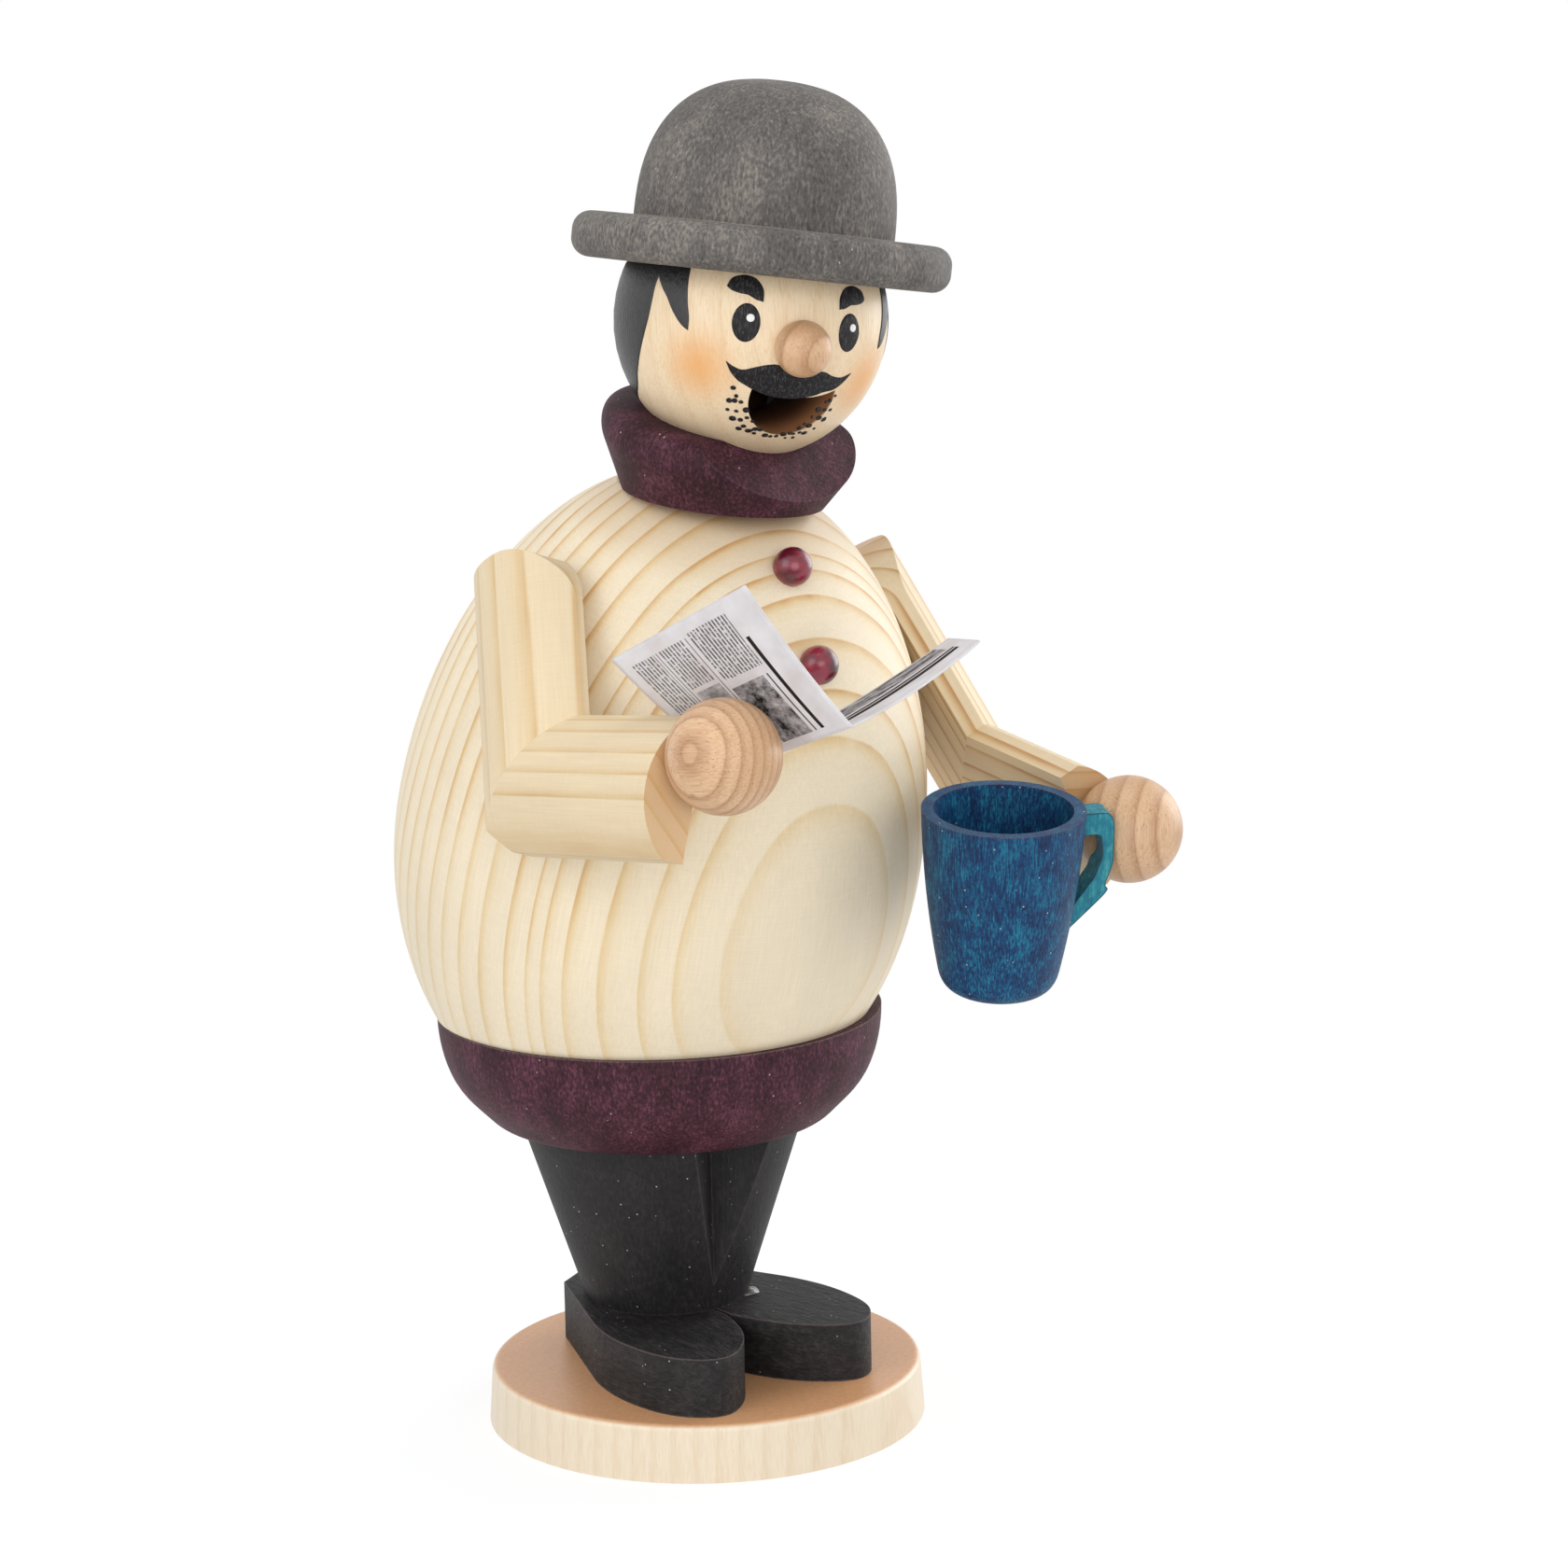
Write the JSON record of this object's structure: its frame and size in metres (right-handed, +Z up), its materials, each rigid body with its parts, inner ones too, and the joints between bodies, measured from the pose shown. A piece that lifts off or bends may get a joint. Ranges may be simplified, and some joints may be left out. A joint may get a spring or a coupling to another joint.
{
  "type": "incense smoker figure",
  "caption": "Turned wooden incense smoker: a stout reader in a bowler hat, with mug and newspaper, whose hollow body lifts off over a metal plate for an incense cone.",
  "frame": {"origin": "centre of the base disc's underside", "axes": "+Z up; the figure's toes and belly face -Y; its right hand, with the newspaper, is at -X"},
  "size_m": [0.0763, 0.0949, 0.1603],
  "materials": {
    "spruce": "satin, clear lacquer",
    "pine": "satin, clear lacquer",
    "beech": "satin, clear lacquer",
    "maple": "satin, clear lacquer",
    "limewood": "satin, clear lacquer, painted face",
    "grey_stain": "matt stain",
    "burgundy_stain": "satin stain",
    "black_stain": "satin stain",
    "red_lacquer": "gloss lacquer",
    "blue_stain": "satin stain",
    "teal_stain": "satin stain",
    "newsprint": "matt printed paper",
    "tin": "satin",
    "steel": "satin",
    "dowel_birch": "raw"
  },
  "bodies": {
    "lower_figure": {"base_disc": "maple", "shoe_right": "black_stain", "shoe_left": "black_stain", "shoe_dowel_right": "dowel_birch", "shoe_dowel_left": "dowel_birch", "trouser_legs": "black_stain", "waist_bowl": "burgundy_stain", "ember_plate": "tin", "plate_nail": "steel"},
    "upper_figure": {"body_shell": "spruce", "upper_arm_right": "pine", "forearm_right": "pine", "upper_arm_left": "pine", "forearm_left": "pine", "hand_right": "beech", "hand_left": "beech", "nose": "beech", "head": "limewood", "hat": "grey_stain", "collar": "burgundy_stain", "button_upper": "red_lacquer", "button_lower": "red_lacquer", "mug_body": "blue_stain", "mug_handle": "teal_stain", "newspaper": "newsprint", "shoulder_dowel_right": "dowel_birch", "shoulder_dowel_left": "dowel_birch", "wrist_dowel_right": "dowel_birch", "wrist_dowel_left": "dowel_birch", "hat_dowel": "dowel_birch"}
  },
  "joints": [
    {"name": "body_lift", "type": "slide", "parent": "lower_figure", "child": "upper_figure", "axis": [0, 0, 1], "range_m": [0, 0.06]}
  ]
}
